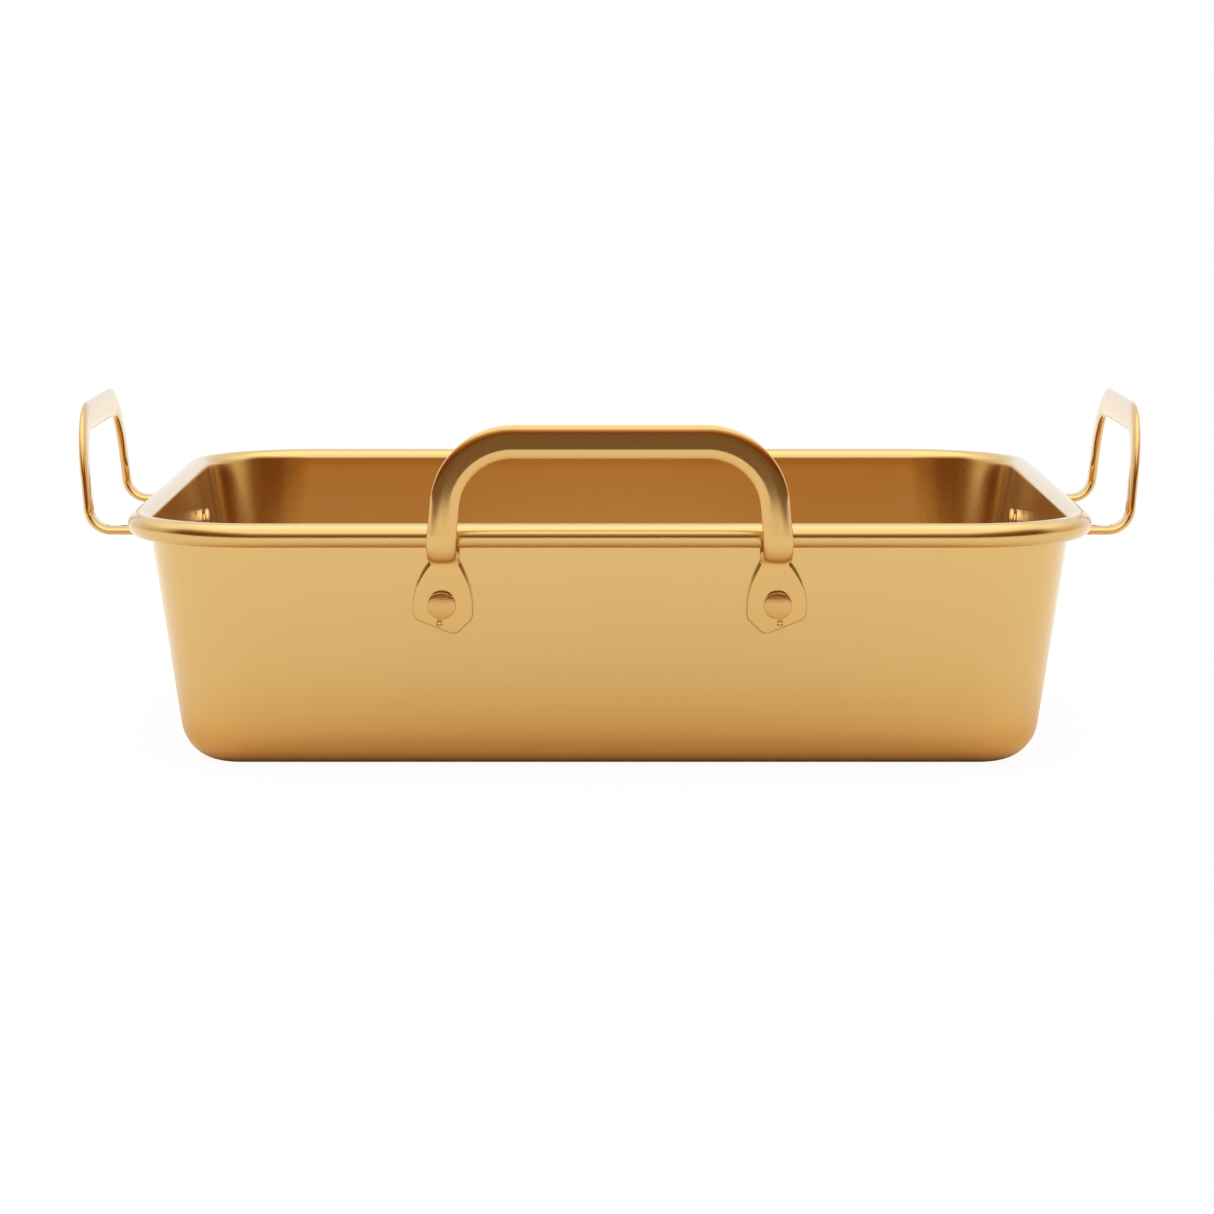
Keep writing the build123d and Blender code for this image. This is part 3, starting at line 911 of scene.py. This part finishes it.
def make_floor(studio):
    """Paper floor with a painted warm bounce near the pan, and a dark sheet in front of it that only the
    metal sees: a painted reflection of the unlit studio floor.
    """
    paper = bpy.data.materials.new("matt_paper")
    paper.use_nodes = True
    tree = paper.node_tree
    shader = tree.nodes["Principled BSDF"]
    place = add_node(tree, "ShaderNodeTexCoord").outputs["Object"]
    size = add_node(tree, "ShaderNodeVectorMath", {0: place}, operation="ABSOLUTE").outputs["Vector"]
    # the base's outline lies 36 mm inside the rim's
    base = (PAN_HIGH[0] - 36 * MM, PAN_HIGH[1] - 36 * MM, 1.0)
    past = add_node(tree, "ShaderNodeVectorMath", {0: size, 1: base}, operation="SUBTRACT")
    outside = add_node(tree, "ShaderNodeVectorMath", {0: past.outputs["Vector"], 1: (0.0, 0.0, 0.0)},
                       operation="MAXIMUM")
    away = add_node(tree, "ShaderNodeVectorMath", {0: outside.outputs["Vector"]}, operation="LENGTH")
    # painted bounce light: the paper is warm at the base's outline and fades to plain paper by the reach
    fade = add_node(tree, "ShaderNodeMapRange", {
        "Value": away.outputs["Value"], "From Max": studio.painted_bounce_reach})
    paper_and_painted_bounce = add_node(tree, "ShaderNodeMix", {0: fade.outputs["Result"], 6: studio.painted_bounce_colour,
                                                  7: studio.floor_colour}, data_type="RGBA")
    tree.links.new(paper_and_painted_bounce.outputs[2], shader.inputs["Base Color"])
    shader.inputs["Roughness"].default_value = 0.9
    # the floor is clear from below, so that the pan's underside can be looked at
    glow = add_node(tree, "ShaderNodeEmission", {"Color": (1.0, 1.0, 1.0, 1.0), "Strength": 1.02})
    seen = add_node(tree, "ShaderNodeLightPath").outputs["Is Camera Ray"]
    wash = add_node(tree, "ShaderNodeMath", {0: seen, 1: 0.93}, operation="MULTIPLY")
    lit = add_node(tree, "ShaderNodeMixShader", {0: wash.outputs["Value"], 1: shader.outputs["BSDF"],
                                                 2: glow.outputs["Emission"]})
    clear = add_node(tree, "ShaderNodeBsdfTransparent")
    behind = add_node(tree, "ShaderNodeNewGeometry").outputs["Backfacing"]
    mix = add_node(tree, "ShaderNodeMixShader", {
        0: behind, 1: lit.outputs["Shader"], 2: clear.outputs["BSDF"]})
    tree.links.new(mix.outputs["Shader"], tree.nodes["Material Output"].inputs["Surface"])
    flat_panel("studio_floor", (-4, -4), (4, 4), PAN_LOW[2] - 0.3 * MM, paper)
    # painted reflection: a dark sheet that glows, hidden from the camera, from diffuse light and from
    # shadows, standing in for the unlit studio floor in the metal
    dark_sheet = bpy.data.materials.new("painted_dark_reflection")
    dark_sheet.use_nodes = True
    tree = dark_sheet.node_tree
    tree.nodes.remove(tree.nodes["Principled BSDF"])
    glow = add_node(tree, "ShaderNodeEmission", {"Color": studio.dark_reflection_colour, "Strength": 1.0})
    tree.links.new(glow.outputs["Emission"], tree.nodes["Material Output"].inputs["Surface"])
    panel = flat_panel("painted_dark_reflection", (-4, -4), (4, -studio.dark_reflection_edge), PAN_LOW[2] + 0.5 * MM, dark_sheet)
    panel.visible_camera = False
    panel.visible_diffuse = False
    panel.visible_shadow = False


def make_lights(context, studio):
    """Soft white room with an unlit side behind the camera, and one large softbox overhead."""
    world = bpy.data.worlds.new("white_studio")
    context.scene.world = world
    world.use_nodes = True
    tree = world.node_tree
    background = tree.nodes["Background"]
    heading = add_node(tree, "ShaderNodeTexCoord").outputs["Generated"]
    parts = add_node(tree, "ShaderNodeSeparateXYZ", {"Vector": heading})
    front = add_node(tree, "ShaderNodeMapRange", {
        "Value": parts.outputs["Y"], "From Min": 0.1, "From Max": -0.35, "To Min": 0.0, "To Max": 1.0},
        interpolation_type="SMOOTHSTEP")
    rise = add_node(tree, "ShaderNodeValToRGB", {"Fac": parts.outputs["Z"]})
    set_ramp(rise, ((0.0, studio.flank_colour, 1.0), (0.3, studio.side_colour, 1.1), (0.6, WHITE, 1.4)))
    back = add_node(tree, "ShaderNodeMapRange", {
        "Value": parts.outputs["Y"], "From Min": 0.3, "From Max": 0.8})
    behind = add_node(tree, "ShaderNodeMix", {
        0: back.outputs["Result"], 6: rise.outputs["Color"], 7: WHITE}, data_type="RGBA")
    # the unlit part stands higher towards its two sides
    aside = add_node(tree, "ShaderNodeMath", {0: parts.outputs["X"]}, operation="ABSOLUTE")
    sunk = add_node(tree, "ShaderNodeMath", {0: aside.outputs["Value"], 1: -0.38, 2: parts.outputs["Z"]},
                    operation="MULTIPLY_ADD")
    dusk = add_node(tree, "ShaderNodeValToRGB", {"Fac": sunk.outputs["Value"]})
    set_ramp(dusk, ((0.0, studio.shade_colour, 1.0), (0.2, studio.haze_colour, 1.0),
                    (0.36, studio.side_colour, 1.0), (0.52, WHITE, 1.45)))
    room = add_node(tree, "ShaderNodeMix", {0: front.outputs["Result"], 6: behind.outputs[2],
                                            7: dusk.outputs["Color"]}, data_type="RGBA")
    seen = add_node(tree, "ShaderNodeLightPath").outputs["Is Camera Ray"]
    shown = add_node(tree, "ShaderNodeMix", {0: seen, 6: room.outputs[2], 7: WHITE}, data_type="RGBA")
    tree.links.new(shown.outputs[2], background.inputs["Color"])
    background.inputs["Strength"].default_value = 1.0
    lamp = bpy.data.lights.new("overhead_softbox", "AREA")
    lamp.shape = "RECTANGLE"
    lamp.size, lamp.size_y = 1.6, 1.2
    lamp.energy = studio.lamp_power
    softbox = bpy.data.objects.new("overhead_softbox", lamp)
    softbox.location = (0, 0, 1.3)
    bpy.context.collection.objects.link(softbox)


def make_camera(context, studio):
    """Camera a little above the rim, looking along +Y and slightly down."""
    data = bpy.data.cameras.new("camera")
    data.sensor_width = 36
    data.lens = studio.lens
    data.clip_end = 100
    camera = bpy.data.objects.new("camera", data)
    camera.location = (-studio.camera_side, -studio.camera_distance, studio.camera_height)
    camera.rotation_euler = (math.pi / 2 - studio.camera_pitch, 0, 0)
    bpy.context.collection.objects.link(camera)
    context.scene.camera = camera
    context.scene.view_settings.view_transform = "Standard"


class RoastingPanPanel(bpy.types.Panel):
    """Lists the pieces in the order they are made"""

    bl_idname = "VIEW3D_PT_roasting_pan"
    bl_label = "Roasting pan"
    bl_space_type = "VIEW_3D"
    bl_region_type = "UI"
    bl_category = "Roasting pan"

    def draw(self, context):
        for operator in OPERATORS:
            self.layout.operator(operator.bl_idname)


GROUPS = (PanShape, HandleShape, FastenerShape, BrassFinish, StudioLook, RoastingPanSettings)
OPERATORS = (MakeStudio, MakePanBody, MakeHandles, MakeRivets, MakeRackStuds)


def register():
    """Registers the settings, operators and panel."""
    for item in (*GROUPS, *OPERATORS, RoastingPanPanel):
        bpy.utils.register_class(item)
    bpy.types.Scene.roasting_pan = bpy.props.PointerProperty(type=RoastingPanSettings)


def unregister():
    """Takes them away again."""
    del bpy.types.Scene.roasting_pan
    for item in reversed((*GROUPS, *OPERATORS, RoastingPanPanel)):
        bpy.utils.unregister_class(item)


def main():
    register()
    bpy.ops.roasting_pan.make_studio()
    bpy.ops.roasting_pan.make_body()
    bpy.ops.roasting_pan.make_handles()
    bpy.ops.roasting_pan.make_rivets()
    bpy.ops.roasting_pan.make_rack_studs()


if __name__ == "__main__":
    main()
